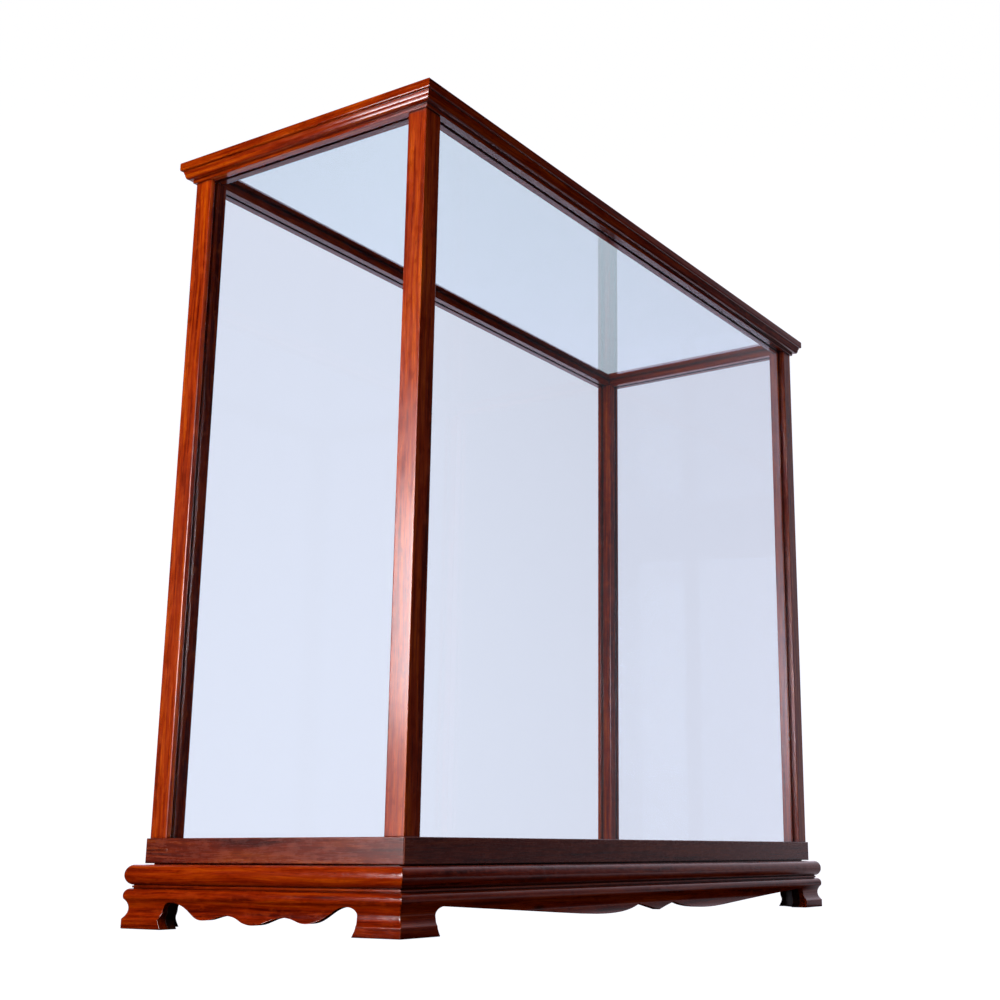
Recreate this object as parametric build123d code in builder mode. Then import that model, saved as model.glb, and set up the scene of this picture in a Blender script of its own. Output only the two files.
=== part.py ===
from build123d import *
import os

# Tabletop display case: a glazed wooden cover standing on a carved wooden base.
# The cover is lifted straight up off the base to reach what is displayed inside.
#
# Millimetres. +Z is up, X runs along the case and Y across it, with the front at -Y.
# The origin is on the table top, under the middle of the case.
#
# Mouldings are drawn as sections: local X is the distance outwards from a setting-out
# rectangle (negative is inwards) and local Y is the height above the table. The cover is set
# out on the posts' outer faces, and the base on a rectangle of its own.

# ---------------------------------------------------------------- driving dimensions
case_length = 1007.0
case_depth = 390.0
case_height = 909.4

base_overhang_ends = 19.1  # feet, bead and bullnose, past the posts
base_overhang_sides = 15.2
cornice_overhang = 14.9
rail_overhang = 3.0

post_side = 25.5
cornice_height = 26.0
bottom_rail_height = 26.8
apron_height = 46.0
bullnose_height = 21.5
shadow_gap = 1.2  # between the bullnose and the cover that stands over it

glass_thickness = 4.0
glass_setback = 6.5  # from the posts' outer faces to the glass
glass_bite = 5.0  # how far a pane reaches into its grooves
groove_depth = 6.0
groove_play = 0.2  # on each face of the glass

# ---------------------------------------------------------------- derived sizes
span_x = case_length - 2 * base_overhang_ends  # over the posts
span_y = case_depth - 2 * base_overhang_sides
inner_x = span_x / 2 - post_side  # from the middle to the posts' inner faces
inner_y = span_y / 2 - post_side

bullnose_top = apron_height + bullnose_height
seat = bullnose_top + shadow_gap  # the cover stands at this height
rail_top = seat + bottom_rail_height
cornice_bottom = case_height - cornice_height

groove_out = -glass_setback + groove_play
groove_in = -glass_setback - glass_thickness - groove_play

base_moulding = 17.0  # how far the base's mouldings stand out from their rectangle
base_x = case_length / 2 - base_moulding
base_y = case_depth / 2 - base_moulding

# Half sizes of the two setting-out rectangles.
COVER = Vector(span_x / 2, span_y / 2)
BASE = Vector(base_x, base_y)

OUTWARD = {
    "front": Vector(0, -1, 0),
    "back": Vector(0, 1, 0),
    "left": Vector(-1, 0, 0),
    "right": Vector(1, 0, 0),
}
CORNERS = {
    "front_left": (-1, -1),
    "front_right": (1, -1),
    "back_left": (-1, 1),
    "back_right": (1, 1),
}

os.makedirs("parts", exist_ok=True)


def save(part, name):
    part.label = name
    export_step(part, f"parts/{name}.step")


def run(side, outline):
    """Length of a side of a setting-out rectangle."""
    return 2 * (outline.Y if side in ("left", "right") else outline.X)


def section_plane(side, outline):
    """Across the middle of a side: X is outwards from the rectangle, Y is up."""
    outward = OUTWARD[side]
    half_width = outline.X if side in ("left", "right") else outline.Y
    return Plane(
        origin=outward * half_width,
        x_dir=outward,
        z_dir=outward.cross(Vector(0, 0, 1)),
    )


def face_plane(side, outline):
    """Along a side of the rectangle: X runs along it, Y is up and Z is outwards."""
    across = section_plane(side, outline)
    return Plane(origin=across.origin, x_dir=-across.z_dir, z_dir=across.x_dir)


def cut_mitres(side, outline):
    """Saws both ends of the member being built at 45 degrees, through the corners."""
    across = section_plane(side, outline)
    for end in (1, -1):
        corner = across.origin + across.z_dir * (end * run(side, outline) / 2)
        saw = Plane(origin=corner, z_dir=across.z_dir * end - across.x_dir)
        split(bisect_by=saw, keep=Keep.BOTTOM)


def ease_corners(outline, overhang, radius):
    """Trims the part being built to a rectangle in plan with rounded corners."""
    with BuildSketch() as plan:
        RectangleRounded(2 * (outline.X + overhang), 2 * (outline.Y + overhang), radius)
    extrude(plan.sketch, amount=case_height, mode=Mode.INTERSECT)


def mitred_member(section, side, outline=COVER, overhang=0, ease=0):
    """One side of a frame: its section run along the side, with both ends mitred.

    With an ease radius, the frame's upright corners are rounded where they stand out most.
    """
    with BuildPart() as member:
        with BuildSketch(section_plane(side, outline)):
            add(section)
        extrude(amount=run(side, outline) / 2 + base_moulding, both=True)
        if ease:
            ease_corners(outline, overhang, ease)
        cut_mitres(side, outline)
    return member.part


# ---------------------------------------------------------------- joinery details
# Stub tenon on both ends of every post.
tenon_side = 10.0
tenon_length = 7.0
post_centres = [
    (sx * (span_x - post_side) / 2, sy * (span_y - post_side) / 2)
    for sx, sy in CORNERS.values()
]

# Flat key let into each back corner of the bottom rails. It shows as a dark stripe.
key_thickness = 3.4
key_bottom = seat + 12.4
key_outer = rail_overhang
key_inner = -32.0
rail_ease = 2.0  # radius on the upright corners of the bottom rails


with BuildPart() as mitre_keys:
    for sx in (-1, 1):
        out_x, in_x = (sx * (span_x / 2 + e) for e in (key_outer, key_inner))
        out_y, in_y = (span_y / 2 + e for e in (key_outer, key_inner))
        with BuildSketch(Plane.XY.offset(key_bottom)):
            with BuildLine():
                Polyline((out_x, out_y), (in_x, out_y), (out_x, in_y), close=True)
            make_face()
    extrude(amount=key_thickness)
    ease_corners(COVER, rail_overhang, rail_ease)

# Flat loose tongue inside each mitre of the cornice.
tongue_length = 26.0  # along the mitre
tongue_width = 18.0  # across it, half in each rail
tongue_thickness = 3.0
tongue_bottom = case_height - 10.0
tongue_centre = -2.5  # outwards from the post faces

with BuildPart() as cornice_tongues:
    for sx, sy in CORNERS.values():
        middle = (sx * (span_x / 2 + tongue_centre), sy * (span_y / 2 + tongue_centre))
        with BuildSketch(Plane.XY.offset(tongue_bottom)):
            with Locations(Location(middle, sx * sy * 45)):
                Rectangle(tongue_length, tongue_width)
    extrude(amount=tongue_thickness)

# ---------------------------------------------------------------- wood screws
screw_shank = 2.0  # radius
screw_head = 4.0  # radius
screw_head_height = 2.4
screw_tip = 3.0  # height of the point
screw_recess = 1.1  # depth of the cross recess


def wood_screw(length):
    """A countersunk screw standing on its head at the origin, pointing up."""
    with BuildPart() as body:
        with BuildSketch(Plane.XZ):
            with BuildLine():
                Polyline(
                    (0, 0),
                    (screw_head, 0),
                    (screw_shank, screw_head_height),
                    (screw_shank, length - screw_tip),
                    (0, length),
                    close=True,
                )
            make_face()
        revolve(axis=Axis.Z)
    return body.part


def recessed_screw(length):
    """The same screw with a cross recess in its head."""
    with BuildPart() as body:
        add(wood_screw(length))
        with BuildSketch(Plane.XY):
            Rectangle(screw_head, 0.9)
            Rectangle(0.9, screw_head)
        extrude(amount=screw_recess, mode=Mode.SUBTRACT)
    return body.part


def screw_set(points, length, recessed=True):
    """Equal screws standing at the given points."""
    with BuildPart() as group:
        with Locations(*points):
            add(recessed_screw(length) if recessed else wood_screw(length))
    return group.part


# Up through the ledge of the base frame, into the deck.
deck_screw_length = 19.0
ledge_line = 18.0  # inwards from the base's rectangle
deck_screw_points = [
    (x, sy * (base_y - ledge_line), apron_height)
    for x in (-330, -110, 110, 330)
    for sy in (-1, 1)
] + [(sx * (base_x - ledge_line), 0, apron_height) for sx in (-1, 1)]

# Up through each corner block, from a deep counterbore, into the base frame.
block_screw_length = 29.0
counterbore_radius = 5.0
counterbore_top = 26.0
block_screw_inset_x = 18.0  # inwards from the base's rectangle
block_screw_inset_y = 11.0
block_screw_points = [
    (sx * (base_x - block_screw_inset_x), sy * (base_y - block_screw_inset_y), counterbore_top)
    for sx, sy in CORNERS.values()
]

deck_screw_holes = screw_set(deck_screw_points, deck_screw_length, recessed=False)
block_screw_holes = screw_set(block_screw_points, block_screw_length, recessed=False)

# ---------------------------------------------------------------- cover: cornice
# Outside, going down: fascia, quirk, small bead, ovolo and fillet. Inside, a rebate holds the
# top pane, and a groove under the cornice takes the top edge of a side pane.
cornice_inner = -19.5  # the cornice is narrower than the posts, which stand out inside it
fascia_bottom = case_height - 11.4
fascia_round = 2.0
fillet_face = 3.1

# Three points each, outwards and up from the cornice's top; both lean in, barely rounded.
small_bead = [(11.8, -12.1), (11.3, -14.0), (10.5, -15.8)]
ovolo_face = [(10.3, -17.0), (9.85, -18.7), (9.1, -20.3)]
ovolo_end = (3.7, -21.7)
rebate_width = 6.0
top_pane_seat = case_height - 16.0
cornice_flat = cornice_inner + rebate_width

with BuildSketch() as cornice_section:
    with BuildLine():
        bead_points = [(e, case_height + h) for e, h in small_bead]
        ovolo_points = [(e, case_height + h) for e, h in ovolo_face]
        ovolo_foot = (ovolo_end[0], case_height + ovolo_end[1])
        Polyline(
            (cornice_inner, cornice_bottom),
            (cornice_inner, top_pane_seat),
            (cornice_flat, top_pane_seat),
            (cornice_flat, case_height),
            (cornice_overhang, case_height),
            (cornice_overhang, fascia_bottom),
            (bead_points[0][0], fascia_bottom),
            bead_points[0],
        )
        ThreePointArc(*bead_points)
        Line(bead_points[-1], ovolo_points[0])
        ThreePointArc(*ovolo_points)
        Spline(ovolo_points[-1], ovolo_foot, tangents=((-0.35, -1), (-1, 0)))
        Polyline(
            ovolo_foot,
            (fillet_face, ovolo_foot[1]),
            (fillet_face, cornice_bottom),
            (groove_out, cornice_bottom),
            (groove_out, cornice_bottom + groove_depth),
            (groove_in, cornice_bottom + groove_depth),
            (groove_in, cornice_bottom),
            (cornice_inner, cornice_bottom),
        )
    make_face()
    fillet(cornice_section.vertices().group_by(Axis.X)[-1], radius=fascia_round)
    fillet(
        cornice_section.vertices().filter_by_position(
            Axis.X, fillet_face - 0.01, fillet_face + 0.01
        ).sort_by(Axis.Y)[0],
        radius=0.8,
    )


def cornice_rail(side):
    with BuildPart() as rail:
        add(mitred_member(cornice_section.sketch, side))
        with BuildSketch(Plane.XY.offset(cornice_bottom)):
            with Locations(*post_centres):
                Rectangle(tenon_side, tenon_side)
        extrude(amount=tenon_length, mode=Mode.SUBTRACT)
        add(cornice_tongues.part, mode=Mode.SUBTRACT)
    return rail.part


# Beads lie in the rebate and hold the top pane down.
bead_height = 8.0

with BuildSketch() as bead_section:
    with BuildLine():
        Polyline(
            (cornice_flat, top_pane_seat + glass_thickness),
            (cornice_flat, top_pane_seat + glass_thickness + bead_height),
            (cornice_inner, top_pane_seat + glass_thickness + bead_height),
            (cornice_inner, top_pane_seat + glass_thickness),
            close=True,
        )
    make_face()
    fillet(bead_section.vertices().sort_by(Axis.Y)[-2:].sort_by(Axis.X)[0], radius=2)

# ---------------------------------------------------------------- cover: bottom rails
with BuildSketch() as bottom_rail_section:
    with BuildLine():
        Polyline(
            (-post_side, seat),
            (rail_overhang, seat),
            (rail_overhang, rail_top),
            (groove_out, rail_top),
            (groove_out, rail_top - groove_depth),
            (groove_in, rail_top - groove_depth),
            (groove_in, rail_top),
            (-post_side, rail_top),
            close=True,
        )
    make_face()
    fillet(bottom_rail_section.vertices().group_by(Axis.X)[-1], radius=1.0)


def bottom_rail(side):
    with BuildPart() as rail:
        add(mitred_member(bottom_rail_section.sketch, side, COVER, rail_overhang, rail_ease))
        with BuildSketch(Plane.XY.offset(rail_top - tenon_length)):
            with Locations(*post_centres):
                Rectangle(tenon_side, tenon_side)
        extrude(amount=tenon_length, mode=Mode.SUBTRACT)
        add(mitre_keys.part, mode=Mode.SUBTRACT)
    return rail.part


# ---------------------------------------------------------------- cover: posts and glass
post_length = cornice_bottom - rail_top
post_arris = 0.8


def corner_post(sx, sy):
    """A square post with two glass grooves in its inner faces and a tenon on each end."""
    centre = (sx * (span_x - post_side) / 2, sy * (span_y - post_side) / 2)
    groove_reach = span_x / 2 - post_side + groove_depth / 2
    groove_reach_y = span_y / 2 - post_side + groove_depth / 2
    groove_line = (groove_out + groove_in) / 2
    groove_width = groove_out - groove_in
    with BuildPart() as post:
        with BuildSketch(Plane.XY.offset(rail_top)):
            with Locations(centre):
                Rectangle(post_side, post_side)
        extrude(amount=post_length)
        fillet(post.edges().filter_by(Axis.Z), radius=post_arris)
        with BuildSketch(Plane.XY.offset(rail_top)):
            with Locations((sx * groove_reach, sy * (span_y / 2 + groove_line))):
                Rectangle(groove_depth, groove_width)
            with Locations((sx * (span_x / 2 + groove_line), sy * groove_reach_y)):
                Rectangle(groove_width, groove_depth)
        extrude(amount=post_length, mode=Mode.SUBTRACT)
        with BuildSketch(Plane.XY.offset(rail_top - tenon_length)):
            with Locations(centre):
                Rectangle(tenon_side, tenon_side)
        extrude(amount=post_length + 2 * tenon_length)
    return post.part


def side_pane(side):
    """A pane standing in the grooves of two posts, a bottom rail and the cornice."""
    width = run(side, COVER) - 2 * post_side + 2 * glass_bite
    with BuildPart() as pane:
        with BuildSketch(face_plane(side, COVER).offset(-glass_setback)):
            with Locations((0, (rail_top + cornice_bottom) / 2)):
                Rectangle(width, post_length + 2 * glass_bite)
        extrude(amount=-glass_thickness)
    return pane.part


top_pane_play = 0.5

with BuildPart() as top_pane:
    with BuildSketch(Plane.XY.offset(top_pane_seat)):
        Rectangle(
            span_x + 2 * (cornice_flat - top_pane_play),
            span_y + 2 * (cornice_flat - top_pane_play),
        )
    extrude(amount=glass_thickness)

# ---------------------------------------------------------------- base: upper frame
# A bullnose outside and a rebate inside, in which the deck lies.
bullnose_reach = 8.0  # how far the round part projects
deck_thickness = 12.0
deck_edge = -4.5
ledge_inner = -31.0
ledge_top = seat - deck_thickness

with BuildSketch() as bullnose_section:
    with BuildLine():
        nose = EllipticalCenterArc(
            (base_moulding - bullnose_reach, apron_height + bullnose_height / 2),
            bullnose_reach,
            bullnose_height / 2,
            start_angle=-90,
            arc_size=180,
        )
        Polyline(
            nose @ 1,
            (deck_edge, bullnose_top),
            (deck_edge, ledge_top),
            (ledge_inner, ledge_top),
            (ledge_inner, apron_height),
            nose @ 0,
        )
    make_face()


def base_frame_rail(side):
    with BuildPart() as rail:
        add(mitred_member(bullnose_section.sketch, side, BASE))
        add(deck_screw_holes, mode=Mode.SUBTRACT)
        add(block_screw_holes, mode=Mode.SUBTRACT)
    return rail.part


deck_play = 0.2

with BuildPart() as deck_panel:
    with BuildSketch(Plane.XY.offset(ledge_top)):
        Rectangle(2 * (base_x + deck_edge - deck_play), 2 * (base_y + deck_edge - deck_play))
    extrude(amount=deck_thickness)
    add(deck_screw_holes, mode=Mode.SUBTRACT)

# The raised board fits inside the cover's bottom rails and keeps the cover in its place.
board_thickness = 10.0
board_play = 0.7

with BuildPart() as display_board:
    with BuildSketch(Plane.XY.offset(seat)):
        Rectangle(2 * (inner_x - board_play), 2 * (inner_y - board_play))
    extrude(amount=board_thickness)
    fillet(display_board.edges().group_by(Axis.Z)[-1], radius=1.5)

batten_width = 40.0
batten_offset = 220.0


def deck_batten(sx):
    """Stiffens the deck from below, between the front and back of the base frame."""
    with BuildPart() as batten:
        with BuildSketch(Plane.XY.offset(apron_height)):
            with Locations((sx * batten_offset, 0)):
                Rectangle(batten_width, 2 * (base_y + ledge_inner))
        extrude(amount=ledge_top - apron_height)
    return batten.part


# ---------------------------------------------------------------- base: aprons and feet
# Going up: foot band, cove, bead, and a quirked fillet that meets the bullnose.
apron_inner = 6.0
band_top = 10.2
cove_waist = 12.2
cove_face = 16.2
cove_bottom = 11.3
cove_top = 31.2
bead_centre = 34.9
bead_top = 42.3
bead_reach = 6.0
fillet_out = 10.6
quirk_out = 9.4
quirk = 0.8

with BuildSketch() as apron_section:
    with BuildLine():
        Polyline(
            (apron_inner, 0),
            (base_moulding - 0.6, 0),
            (base_moulding, 0.6),
            (base_moulding, band_top),
            (cove_face, cove_bottom),
        )
        ThreePointArc(
            (cove_face, cove_bottom),
            (cove_waist, (cove_bottom + cove_top) / 2),
            (cove_face, cove_top),
        )
        Spline(
            (cove_face, cove_top),
            (base_moulding, bead_centre),
            tangents=((0.8, 1), (0, 1)),
        )
        bead = EllipticalCenterArc(
            (base_moulding - bead_reach, bead_centre),
            bead_reach,
            bead_top - bead_centre,
            arc_size=90,
        )
        Polyline(
            bead @ 1,
            (quirk_out, bead_top),
            (quirk_out, bead_top + quirk),
            (fillet_out, bead_top + quirk),
            (fillet_out, apron_height - quirk),
            (quirk_out, apron_height - quirk),
            (quirk_out, apron_height),
            (apron_inner, apron_height),
            (apron_inner, 0),
        )
    make_face()

# Openings under the aprons, between the feet. Each is drawn from the middle of its side
# out to a foot, then mirrored. Local X runs along the side and local Y is up.
floor_below = -5.0  # the cut runs on past the feet's soles
arch_top = 28.4
arch_reach = 12.0  # from the arch's flat top to the foot
foot_length = 61.5  # along each side, at the sole
waist_height = 11.0  # where a foot is narrowest
waist_inset = 4.8
shoulder_height = 19.5  # where the foot's edge turns into the arch
shoulder_inset = 2.6

long_foot = case_length / 2 - foot_length
short_foot = case_depth / 2 - foot_length


def arch_end(foot):
    """Where the top of an opening starts to turn down towards the foot."""
    return (foot + shoulder_inset - arch_reach, arch_top)


def foot_edge(foot):
    """The rest of an opening's outline: arch, hollow foot edge, and back under the floor."""
    arch = EllipticalCenterArc(
        (foot + shoulder_inset - arch_reach, shoulder_height),
        arch_reach,
        arch_top - shoulder_height,
        arc_size=90,
    )
    hollow = Spline(
        arch @ 0,
        (foot + waist_inset, waist_height),
        (foot, 0),
        tangents=((0, -1), (-0.6, -1)),
    )
    Polyline(hollow @ 1, (foot, floor_below), (0, floor_below))


with BuildSketch() as long_opening:
    # A pointed drop in the middle, a sharp peak each side of it, then a shallow lobe
    # and a long straight rise to the foot.
    with BuildLine():
        drop = (0, 11.6)
        peak = (43.5, 19.8)
        lobe = (128, 11.0)
        lobe_end = (200, 14.0)
        Line(drop, peak)
        Spline(peak, lobe, tangents=((1, -0.30), (1, 0)))
        Spline(lobe, lobe_end, tangents=((1, 0), (1, 0.062)))
        Line(lobe_end, arch_end(long_foot))
        foot_edge(long_foot)
        Line((0, floor_below), drop)
    make_face()
    mirror(about=Plane.YZ)

with BuildSketch() as short_opening:
    # Three rounded lobes, the middle one lowest, then a rise to the foot.
    with BuildLine():
        wave = [(0, 7.8), (40, 16.2), (72, 11.1), arch_end(short_foot)]
        for start, stop in zip(wave, wave[1:]):
            Spline(start, stop, tangents=((1, 0), (1, 0)))
        foot_edge(short_foot)
        Line((0, floor_below), wave[0])
    make_face()
    mirror(about=Plane.YZ)


def opening_under(side):
    return long_opening.sketch if side in ("front", "back") else short_opening.sketch


def apron(side):
    with BuildPart() as board:
        add(mitred_member(apron_section.sketch, side, BASE))
        with BuildSketch(face_plane(side, BASE).offset(apron_inner - 1)):
            add(opening_under(side))
        extrude(amount=base_moulding - apron_inner + 2, mode=Mode.SUBTRACT)
    return board.part


# Blocks glued into the corners behind the feet, sawn to the same outline. Each has a thin
# leg along either apron and is filled out between the legs, where its screw goes up.
block_reach = 56.0  # along each apron, before sawing
block_leg = 12.0  # thickness
block_fill_x = 42.0  # where the slanting back face meets the legs
block_fill_y = 40.5


def corner_block(sx, sy):
    corner_x = base_x + apron_inner
    corner_y = base_y + apron_inner
    outline = [
        (0, 0),
        (block_reach, 0),
        (block_reach, block_leg),
        (block_fill_x, block_leg),
        (block_leg, block_fill_y),
        (block_leg, block_reach),
        (0, block_reach),
    ]
    with BuildPart() as block:
        with BuildSketch():
            with BuildLine():
                corners = [(sx * (corner_x - x), sy * (corner_y - y)) for x, y in outline]
                Polyline(*corners, close=True)
            make_face()
        extrude(amount=apron_height)
        for side in ("front" if sy < 0 else "back", "left" if sx < 0 else "right"):
            with BuildSketch(face_plane(side, BASE)):
                add(opening_under(side))
            extrude(amount=block_reach, both=True, mode=Mode.SUBTRACT)
        with BuildSketch(Plane.XY):
            with Locations(*[(x, y) for x, y, z in block_screw_points]):
                Circle(counterbore_radius)
        extrude(amount=counterbore_top, mode=Mode.SUBTRACT)
        add(block_screw_holes, mode=Mode.SUBTRACT)
    return block.part


# ---------------------------------------------------------------- write every piece
for side in OUTWARD:
    save(cornice_rail(side), f"cornice_{side}")
    save(mitred_member(bead_section.sketch, side), f"top_bead_{side}")
    save(bottom_rail(side), f"bottom_rail_{side}")
    save(side_pane(side), f"glass_{side}")
    save(base_frame_rail(side), f"base_frame_{side}")
    save(apron(side), f"apron_{side}")

for name, (sx, sy) in CORNERS.items():
    save(corner_post(sx, sy), f"post_{name}")
    save(corner_block(sx, sy), f"corner_block_{name}")

save(top_pane.part, "glass_top")
save(mitre_keys.part, "rail_mitre_keys")
save(cornice_tongues.part, "cornice_tongues")
save(deck_panel.part, "deck_panel")
save(display_board.part, "display_board")
save(deck_batten(-1), "deck_batten_left")
save(deck_batten(1), "deck_batten_right")
save(screw_set(deck_screw_points, deck_screw_length), "deck_screws")
save(screw_set(block_screw_points, block_screw_length), "block_screws")
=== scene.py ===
import math

import bpy
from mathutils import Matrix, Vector


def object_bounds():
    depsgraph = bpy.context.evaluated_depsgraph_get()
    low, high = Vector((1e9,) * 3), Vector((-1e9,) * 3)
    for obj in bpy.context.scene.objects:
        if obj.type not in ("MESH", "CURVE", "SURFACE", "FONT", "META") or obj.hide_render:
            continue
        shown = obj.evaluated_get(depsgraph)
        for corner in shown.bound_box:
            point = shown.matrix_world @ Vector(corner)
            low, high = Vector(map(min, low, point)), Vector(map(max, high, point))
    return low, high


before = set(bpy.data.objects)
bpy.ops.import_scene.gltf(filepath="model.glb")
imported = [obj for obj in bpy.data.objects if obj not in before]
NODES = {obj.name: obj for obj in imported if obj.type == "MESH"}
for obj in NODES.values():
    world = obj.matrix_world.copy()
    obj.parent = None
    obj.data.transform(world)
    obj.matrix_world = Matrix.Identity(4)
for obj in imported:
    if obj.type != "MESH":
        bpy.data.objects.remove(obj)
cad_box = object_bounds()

# Tabletop display case: stained and lacquered wood, clear sheet glass. The shapes all come from
# the CAD nodes; this script gives them their materials, and sets up the studio and the camera.
# Lengths are in metres, colours are linear.

SIDES = ("front", "back", "left", "right")
CORNERS = ("front_left", "front_right", "back_left", "back_right")
MM = 0.001


# ---------------------------------------------------------------- node helpers
class Tree:
    """A node tree with short calls for making and joining nodes."""

    def __init__(self, tree):
        self.tree = tree

    def node(self, kind, inputs=None, **settings):
        made = self.tree.nodes.new(kind)
        for key, value in settings.items():
            setattr(made, key, value)
        for key, value in (inputs or {}).items():
            self.feed(made.inputs[key], value)
        return made

    def feed(self, socket, value):
        if isinstance(value, bpy.types.NodeSocket):
            self.tree.links.new(value, socket)
        else:
            socket.default_value = value

    def math(self, operation, a, b=0.0, clamp=False):
        made = self.node("ShaderNodeMath", {0: a, 1: b}, operation=operation, use_clamp=clamp)
        return made.outputs[0]

    def vector(self, operation, a, b=(0.0, 0.0, 0.0)):
        made = self.node("ShaderNodeVectorMath", {0: a, 1: b}, operation=operation)
        return made.outputs["Value" if operation in ("DOT_PRODUCT", "LENGTH") else "Vector"]

    def ramp(self, fac, low, high, to_low=0.0, to_high=1.0):
        """Smooth step of fac between low and high."""
        made = self.node(
            "ShaderNodeMapRange",
            {"Value": fac, "From Min": low, "From Max": high, "To Min": to_low, "To Max": to_high},
            interpolation_type="SMOOTHSTEP",
        )
        return made.outputs["Result"]

    def mix(self, fac, a, b, blend="MIX"):
        """Blend of two colours."""
        made = self.node("ShaderNodeMix", data_type="RGBA", blend_type=blend)
        self.feed(made.inputs[0], fac)
        self.feed(made.inputs[6], a)
        self.feed(made.inputs[7], b)
        return made.outputs[2]

    def between(self, fac, a, b):
        """Blend of two numbers."""
        return self.node("ShaderNodeMix", {0: fac, 2: a, 3: b}, data_type="FLOAT").outputs[0]

    def scaled(self, vector, along, across):
        """The same space, stretched by one factor along the grain and one across it."""
        made = self.node("ShaderNodeMapping", {"Vector": vector, "Scale": (along, across, across)})
        return made.outputs[0]

    def stretched_noise(self, vector, along, across, detail, rough=0.5):
        made = self.node(
            "ShaderNodeTexNoise",
            {
                "Vector": self.scaled(vector, along, across),
                "Scale": 1.0,
                "Detail": detail,
                "Roughness": rough,
                "Distortion": 0.0,
            },
        )
        return made.outputs["Fac"]


def rgb(r, g, b):
    return (r, g, b, 1.0)


def new_material(name):
    """A material with an empty node tree, and the tree."""
    material = bpy.data.materials.new(name)
    material.use_nodes = True
    material.node_tree.nodes.clear()
    return material, Tree(material.node_tree)


# ---------------------------------------------------------------- wood
DARK_GRAIN = rgb(0.100, 0.0045, 0.0002)
MIDDLE_GRAIN = rgb(0.440, 0.0330, 0.0004)
LIGHT_GRAIN = rgb(0.760, 0.1150, 0.0014)
BRIGHT_PATCH = rgb(0.62, 0.070, 0.0010)
DULL_PATCH = rgb(0.22, 0.012, 0.0004)
PORE = rgb(0.030, 0.0035, 0.0012)
KNOT = rgb(0.020, 0.003, 0.001)
WORN_EDGE = rgb(0.60, 0.085, 0.006)
# Painted shade for hollows and the gaps between parts.
HOLLOW_PAINTED_SHADE = rgb(0.34, 0.20, 0.22)  # multiplies the colour of the wood
FIBRE_BEND = 10 * MM  # how far the fibres wander sideways


def wood_figure():
    """Group: grain along local X, in metres. Gives colour, gloss loss and surface height."""
    group = bpy.data.node_groups.new("wood_figure", "ShaderNodeTree")
    group.interface.new_socket("Vector", in_out="INPUT", socket_type="NodeSocketVector")
    for name, kind in (("Color", "Color"), ("Rough", "Float"), ("Height", "Float")):
        group.interface.new_socket(name, in_out="OUTPUT", socket_type=f"NodeSocket{kind}")
    t = Tree(group)
    where = t.node("NodeGroupInput").outputs["Vector"]

    # Slow waves bend the fibres sideways.
    waves = {"Vector": t.scaled(where, 5, 22), "Scale": 1.0, "Detail": 1.0}
    bend = t.node("ShaderNodeTexNoise", waves).outputs["Color"]
    centred = t.vector("SUBTRACT", bend, (0.5, 0.5, 0.5))
    shift = t.vector("MULTIPLY", centred, (0.0, FIBRE_BEND, FIBRE_BEND))
    fibre_space = t.vector("ADD", where, shift)

    broad = t.stretched_noise(fibre_space, 1.6, 26, 2.0)
    streak = t.stretched_noise(fibre_space, 9, 230, 4.0, rough=0.6)
    fibre = t.stretched_noise(fibre_space, 45, 1100, 3.0, rough=0.65)
    pore = t.stretched_noise(fibre_space, 95, 1900, 1.0)
    mottle = t.stretched_noise(where, 60, 130, 3.0, rough=0.6)

    tone = t.math("ADD", t.math("MULTIPLY", streak, 0.62), t.math("MULTIPLY", broad, 0.38))
    colour = t.mix(t.ramp(tone, 0.34, 0.52), DARK_GRAIN, MIDDLE_GRAIN)
    colour = t.mix(t.ramp(tone, 0.47, 0.68), colour, LIGHT_GRAIN)
    colour = t.mix(t.ramp(mottle, 0.50, 0.75, 0.0, 0.55), colour, BRIGHT_PATCH)
    colour = t.mix(t.ramp(mottle, 0.45, 0.28, 0.0, 0.50), colour, DULL_PATCH)
    colour = t.mix(t.ramp(fibre, 0.30, 0.70, 0.42, 0.0), colour, DARK_GRAIN)
    pores = t.ramp(pore, 0.66, 0.74)
    colour = t.mix(t.math("MULTIPLY", pores, 0.55), colour, PORE)

    # A few pin knots: dark, drawn out along the grain, in about one Voronoi cell in twelve.
    cells = t.node(
        "ShaderNodeTexVoronoi",
        {"Vector": t.scaled(fibre_space, 9, 34), "Scale": 1.0, "Randomness": 1.0},
    )
    lot = t.node("ShaderNodeSeparateColor", {0: cells.outputs["Color"]}).outputs[0]
    spot = t.ramp(cells.outputs["Distance"], 0.06, 0.17, 1.0, 0.0)
    knots = t.math("MULTIPLY", spot, t.ramp(lot, 0.90, 0.93))
    colour = t.mix(t.math("MULTIPLY", knots, 0.85), colour, KNOT)

    rough = t.math("ADD", t.ramp(fibre, 0.3, 0.7, 0.0, 0.05), t.ramp(mottle, 0.3, 0.7, 0.0, 0.05))
    height = t.math("SUBTRACT", t.math("MULTIPLY", fibre, 0.5), t.math("MULTIPLY", pores, 0.6))
    t.node("NodeGroupOutput", {"Color": colour, "Rough": rough, "Height": height})
    return group


FIGURE = wood_figure()
ALONG = {"x": (0, 0, 0), "y": (0, 0, -math.pi / 2), "z": (0, math.pi / 2, 0)}


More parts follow.
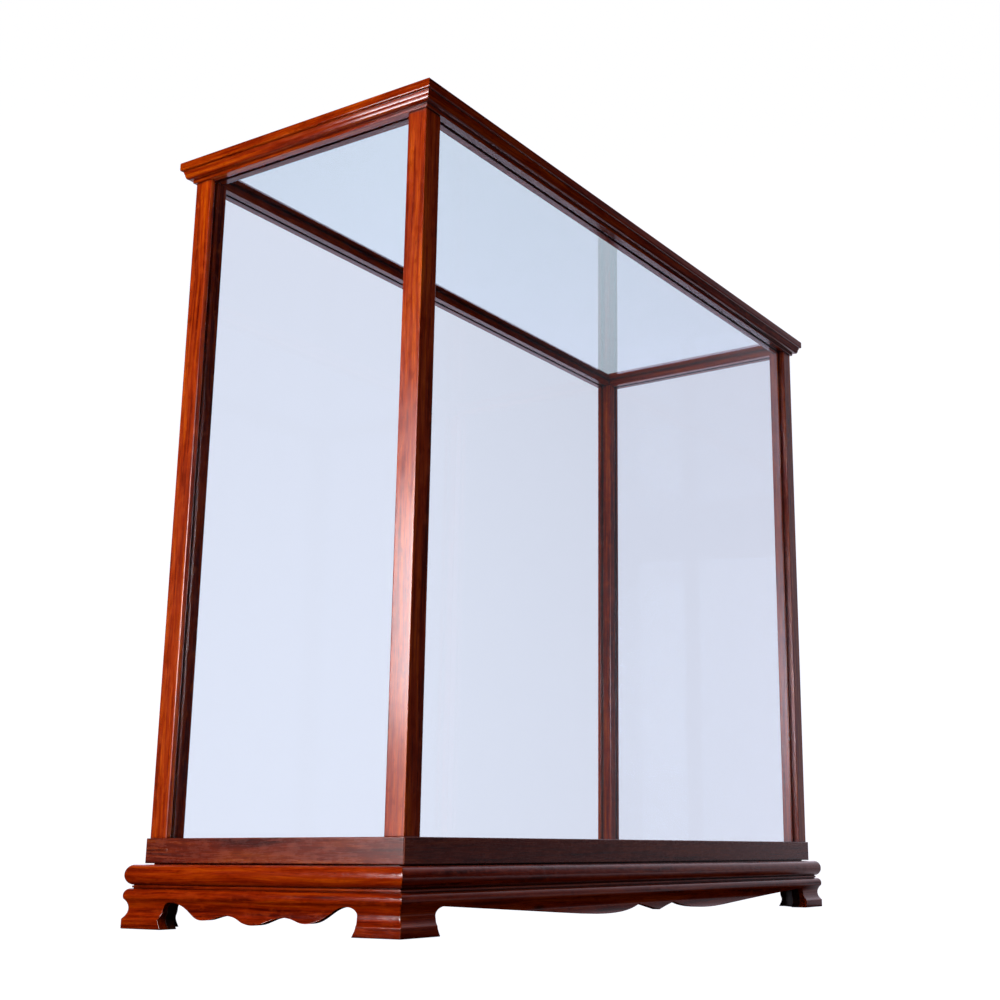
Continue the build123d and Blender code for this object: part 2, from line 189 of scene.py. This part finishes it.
def wood_material(
    name, grain, seed, tint=(1, 1, 1), dullness=0.11, arris=1.6 * MM, sheen=0.5, painted_shade_reach=5 * MM
):
    """Stained wood under lacquer, with its grain along one axis of the frame.

    Each seed takes its figure from another place in the same timber. Dullness is the roughness
    of the lacquer before the grain adds its own. Arris is the radius that edges are worn to, and
    the painted-shade reach is the distance within which a hollow is darkened with painted shade.
    """
    material, t = new_material(name)
    place = t.node("ShaderNodeTexCoord").outputs["Object"]
    cut = (seed * 1.37, seed * 0.211, seed * 0.173)
    turned = t.node(
        "ShaderNodeMapping", {"Vector": place, "Rotation": ALONG[grain], "Location": cut}
    ).outputs[0]
    figure = t.node("ShaderNodeGroup", node_tree=FIGURE)
    t.feed(figure.inputs["Vector"], turned)

    # Arrises are a little worn and catch the light; hollows and the gaps between parts are
    # darkened with painted shade.
    softened = t.node("ShaderNodeBevel", {"Radius": arris}, samples=6).outputs[0]
    flat = t.node("ShaderNodeNewGeometry").outputs["Normal"]
    worn = t.ramp(t.vector("DOT_PRODUCT", softened, flat), 0.985, 0.90)
    openness = t.node("ShaderNodeAmbientOcclusion", {"Distance": painted_shade_reach}, samples=6).outputs["AO"]
    unshaded_share = t.ramp(openness, 0.35, 0.95)

    colour = t.mix(1.0, figure.outputs["Color"], rgb(*tint), "MULTIPLY")
    colour = t.mix(t.math("MULTIPLY", worn, 0.30), colour, WORN_EDGE)
    # Painted shade: where the ambient-occlusion mask finds a hollow or a nearby part, the wood is
    # darkened.
    colour = t.mix(unshaded_share, t.mix(1.0, colour, HOLLOW_PAINTED_SHADE, "MULTIPLY"), colour)
    rough = t.math("ADD", figure.outputs["Rough"], dullness)
    rough = t.math("ADD", rough, t.math("MULTIPLY", worn, 0.06))
    bumped = t.node(
        "ShaderNodeBump",
        {
            "Strength": 0.15,
            "Distance": 0.08 * MM,
            "Height": figure.outputs["Height"],
            "Normal": softened,
        },
    )
    shader = t.node(
        "ShaderNodeBsdfPrincipled",
        {
            "Base Color": colour,
            "Roughness": rough,
            "Normal": bumped.outputs[0],
            "IOR": 1.5,
            "Specular IOR Level": sheen,
        },
    )
    t.node("ShaderNodeOutputMaterial", {"Surface": shader.outputs[0]})
    return material


# ---------------------------------------------------------------- glass and steel
GLASS_IOR = 1.5
BOTH_SURFACES = 1.8  # a thin sheet mirrors nearly twice what one surface does


def glass_material(name, tint):
    """Thin clear sheet: tints what is behind it and reflects more at a glancing angle."""
    material, t = new_material(name)
    through = t.node("ShaderNodeBsdfTransparent", {"Color": rgb(*tint)})
    mirror = t.node("ShaderNodeBsdfGlossy", {"Color": rgb(0.93, 0.97, 1.0), "Roughness": 0.0})
    outside = t.math("SUBTRACT", 1.0, t.node("ShaderNodeNewGeometry").outputs["Backfacing"])
    fresnel = t.node("ShaderNodeFresnel", {"IOR": GLASS_IOR}).outputs[0]
    share = t.math("MULTIPLY", t.math("MULTIPLY", fresnel, BOTH_SURFACES), outside, clamp=True)
    mixed = t.node("ShaderNodeMixShader", {0: share, 1: through.outputs[0], 2: mirror.outputs[0]})
    t.node("ShaderNodeOutputMaterial", {"Surface": mixed.outputs[0]})
    return material


def steel_material():
    """Zinc plate with a faint spangle."""
    material, t = new_material("zinc_plated_steel")
    place = t.node("ShaderNodeTexCoord").outputs["Object"]
    spangle = {"Vector": place, "Scale": 900.0, "Detail": 3.0}
    patch = t.node("ShaderNodeTexNoise", spangle).outputs["Fac"]
    colour = t.mix(t.ramp(patch, 0.35, 0.65), rgb(0.42, 0.41, 0.36), rgb(0.62, 0.60, 0.52))
    rough = t.ramp(patch, 0.3, 0.7, 0.28, 0.45)
    bump = t.node("ShaderNodeBump", {"Strength": 0.2, "Distance": 0.05 * MM, "Height": patch})
    shader = t.node(
        "ShaderNodeBsdfPrincipled",
        {"Base Color": colour, "Roughness": rough, "Metallic": 1.0, "Normal": bump.outputs[0]},
    )
    t.node("ShaderNodeOutputMaterial", {"Surface": shader.outputs[0]})
    return material


# ---------------------------------------------------------------- finishes on the CAD nodes
POST_FINISH = {"tint": (0.98, 1.0, 0.8), "dullness": 0.14}
CORNICE_FINISH = {"tint": (0.74, 0.66, 0.90), "dullness": 0.06, "arris": 0.6 * MM}
RAIL_FINISH = {"tint": (0.47, 0.54, 2.4), "dullness": 0.22}
BASE_FINISH = {
    "tint": (0.76, 0.65, 0.8),
    "dullness": 0.07,
    "arris": 1.3 * MM,
    # how far into the hollows the painted shade reaches
    "painted_shade_reach": 14 * MM,
}
BLOCK_FINISH = {"tint": (0.12, 0.18, 0.35), "dullness": 0.50, "sheen": 0.15}
KEY_FINISH = {"tint": (0.26, 0.24, 0.6), "dullness": 0.20}
BARE_FINISH = {"tint": (1.0, 3.2, 10.0), "dullness": 0.40}

FRAME_FINISHES = {
    "cornice": CORNICE_FINISH,
    "bottom_rail": RAIL_FINISH,
    "base_frame": BASE_FINISH,
    "apron": BASE_FINISH,
    "top_bead": CORNICE_FINISH,
}
# node, name of the material, direction of the grain, finish
SINGLE_PIECES = (
    ("deck_panel", "lacquer_deck_panel", "x", BASE_FINISH),
    ("display_board", "lacquer_display_board", "x", BASE_FINISH),
    ("deck_batten_left", "bare_deck_batten_left", "y", BARE_FINISH),
    ("deck_batten_right", "bare_deck_batten_right", "y", BARE_FINISH),
    ("cornice_tongues", "bare_cornice_tongues", "x", BARE_FINISH),
    ("rail_mitre_keys", "stain_mitre_keys", "x", KEY_FINISH),
)
BLOCK_SEED_STEP = 20  # keeps the corner blocks' figure apart from the posts'
FIRST_SINGLE_SEED = 41


def paint(node, material):
    mesh = NODES[node].data
    mesh.materials.clear()
    mesh.materials.append(material)


seed = 0
for side in SIDES:
    grain = "x" if side in ("front", "back") else "y"
    for member, finish in FRAME_FINISHES.items():
        seed += 1
        node = f"{member}_{side}"
        paint(node, wood_material(f"lacquer_{node}", grain, seed, **finish))
for corner in CORNERS:
    seed += 1
    post = f"post_{corner}"
    block = f"corner_block_{corner}"
    paint(post, wood_material(f"lacquer_{post}", "z", seed, **POST_FINISH))
    paint(block, wood_material(f"stain_{block}", "z", seed + BLOCK_SEED_STEP, **BLOCK_FINISH))
for seed, (node, name, grain, finish) in enumerate(SINGLE_PIECES, FIRST_SINGLE_SEED):
    paint(node, wood_material(name, grain, seed, **finish))

side_glass = glass_material("clear_sheet_glass", (0.955, 0.972, 0.998))
for pane in ("front", "back", "left"):
    paint(f"glass_{pane}", side_glass)
paint("glass_right", glass_material("clear_right_glass", (0.915, 0.930, 0.960)))
paint("glass_top", glass_material("clear_top_glass", (0.810, 0.875, 0.890)))

steel = steel_material()
for screws in ("deck_screws", "block_screws"):
    paint(screws, steel)


# ---------------------------------------------------------------- floor and backdrop
FLOOR_SIZE = 40.0
FLOOR_DROP = 0.2 * MM  # keeps the floor just clear of the soles
AWAY = Vector((0.851, 0.525, 0.0))  # level direction from the viewer to the case
SEEN_TONE = rgb(1.0, 1.0, 1.06)  # clips to white, but leaves what is seen through glass cool
MIRRORED_TONE = rgb(0.96, 0.86, 1.0)
PAST_WHITE = 1.07  # strength at which the floor and backdrop clip, with some to spare
BACKDROP = 1.55  # strength straight ahead of the viewer, when mirrored


def floor_material():
    """A pale sweep that looks different to each kind of ray.

    The camera sees it past white, with a painted contact shadow close to the case. Glass and
    lacquer mirror it bright far ahead of the viewer and dim in front of the case, but not under
    the case. As a source of light it is weak.
    """
    material, t = new_material("pale_sweep")
    rays = t.node("ShaderNodeLightPath").outputs
    place = t.node("ShaderNodeNewGeometry").outputs["Position"]
    spot = t.node("ShaderNodeSeparateXYZ", {0: place}).outputs
    reach = t.vector("LENGTH", place)
    ahead = t.vector("DOT_PRODUCT", t.vector("NORMALIZE", place), AWAY)

    before = t.ramp(spot["Y"], -0.22, -0.45)
    to_the_right = t.ramp(spot["X"], -0.75, 0.40, 0.0, 0.36)
    in_front = t.math("MULTIPLY", before, to_the_right)
    in_front = t.math("MULTIPLY", in_front, t.ramp(reach, 1.0, 2.2, 1.0, 0.0))
    beside = t.math("MAXIMUM", t.ramp(spot["Y"], 0.20, 0.34), t.ramp(spot["Y"], -0.20, -0.34))
    clear_of_case = t.math("MAXIMUM", t.ramp(spot["X"], 0.50, 0.62), beside)
    far_side = t.math("MULTIPLY", clear_of_case, t.ramp(ahead, 0.40, 1.00, 0.0, BACKDROP))
    mirrored = t.math("MAXIMUM", in_front, far_side)

    far_light = t.math("MULTIPLY", t.ramp(reach, 0.7, 1.6, 0.0, 0.45), t.ramp(ahead, 0.55, 0.95))
    cast = t.math("ADD", 0.04, far_light)

    # Painted contact shadow: the floor the camera sees is darkened where the case stands close
    # over it.
    painted_contact_shadow = t.node("ShaderNodeAmbientOcclusion", {"Distance": 18 * MM}, samples=8).outputs["AO"]
    seen = t.ramp(painted_contact_shadow, 0.0, 1.0, 0.86, PAST_WHITE)

    strength = t.between(rays["Is Glossy Ray"], cast, mirrored)
    strength = t.between(rays["Is Camera Ray"], strength, seen)
    tone = t.mix(rays["Is Camera Ray"], MIRRORED_TONE, SEEN_TONE)
    glow = t.node("ShaderNodeEmission", {"Color": tone, "Strength": strength})
    t.node("ShaderNodeOutputMaterial", {"Surface": glow.outputs[0]})
    return material


def lay_floor():
    sole = cad_box[0].z
    bpy.ops.mesh.primitive_plane_add(size=FLOOR_SIZE, location=(0.0, 0.0, sole - FLOOR_DROP))
    floor = bpy.context.object
    floor.name = "studio_floor"
    floor.data.materials.append(floor_material())


def hang_backdrop():
    """White to the camera; otherwise bright only ahead of the viewer."""
    world = bpy.data.worlds.new("studio")
    bpy.context.scene.world = world
    world.use_nodes = True
    world.node_tree.nodes.clear()
    t = Tree(world.node_tree)
    to_camera = t.node("ShaderNodeLightPath").outputs["Is Camera Ray"]
    way = t.node("ShaderNodeTexCoord").outputs["Generated"]
    height = t.node("ShaderNodeSeparateXYZ", {0: way}).outputs["Z"]
    seen = t.ramp(height, 0.0, 0.5, PAST_WHITE, 1.0)
    mirrored = t.ramp(t.vector("DOT_PRODUCT", way, AWAY), 0.33, 1.00, 0.003, BACKDROP)
    strength = t.between(to_camera, mirrored, seen)
    tone = t.mix(to_camera, MIRRORED_TONE, SEEN_TONE)
    sky = t.node("ShaderNodeBackground", {"Color": tone, "Strength": strength})
    t.node("ShaderNodeOutputWorld", {"Surface": sky.outputs[0]})


lay_floor()
hang_backdrop()


# ---------------------------------------------------------------- lights
NEUTRAL = (1.0, 1.0, 1.0)
COOL = (0.90, 0.94, 1.0)


def softbox(name, where, target, width, height, radiance, colour):
    """A rectangular area light. Its power is set from how bright its face looks."""
    lamp = bpy.data.lights.new(name, "AREA")
    lamp.shape = "RECTANGLE"
    lamp.size = width
    lamp.size_y = height
    lamp.energy = radiance * math.pi * width * height
    lamp.color = colour
    box = bpy.data.objects.new(name, lamp)
    bpy.context.scene.collection.objects.link(box)
    box.location = where
    box.rotation_euler = (Vector(target) - Vector(where)).to_track_quat("-Z", "Y").to_euler()
    box.visible_camera = False
    return box


def highlight(name, where, target, width, height, radiance):
    """A softbox that shows only as its reflection in lacquer."""
    softbox(name, where, target, width, height, radiance, COOL).visible_diffuse = False


def wash(name, where, target, size, radiance):
    """A square softbox that lights surfaces and is not mirrored in them."""
    softbox(name, where, target, size, size, radiance, NEUTRAL).visible_glossy = False


# On the left, three strips one above another make a tall highlight that fades at both ends,
# and a dimmer one reaches round to the near corner.
highlight("key_strip", (-1.5, 0.16, 0.52), (0.0, 0.16, 0.52), 1.00, 0.42, 27.0)
highlight("high_strip", (-1.5, 0.16, 0.84), (0.0, 0.16, 0.84), 1.00, 0.20, 7.0)
highlight("low_strip", (-1.5, 0.36, 0.15), (0.0, 0.36, 0.15), 0.60, 0.29, 5.0)
highlight("corner_strip", (-1.55, -0.62, 0.50), (-0.5, -0.2, 0.45), 0.55, 1.00, 3.0)
wash("side_wash", (-3.2, 0.4, 1.5), (0.0, 0.0, 0.4), 2.0, 8.6)
wash("front_wash", (-0.6, -3.2, 1.6), (0.0, 0.0, 0.4), 1.6, 1.5)

# ---------------------------------------------------------------- camera
LEVEL = 90.0  # tilt at which a camera looks at the horizon, in degrees
TILT_UP = 13.63
TURN = -58.29  # about the vertical, from looking along +Y

camera = bpy.data.cameras.new("camera")
camera.lens = 51.85
camera.sensor_width = 36.0
camera.shift_x = -0.0984
camera.shift_y = 0.0021
camera_object = bpy.data.objects.new("camera", camera)
bpy.context.scene.collection.objects.link(camera_object)
camera_object.location = (-1.6171, -1.1037, 0.0815)
camera_object.rotation_euler = (math.radians(LEVEL + TILT_UP), 0.0, math.radians(TURN))
bpy.context.scene.camera = camera_object
bpy.context.scene.view_settings.view_transform = "Standard"
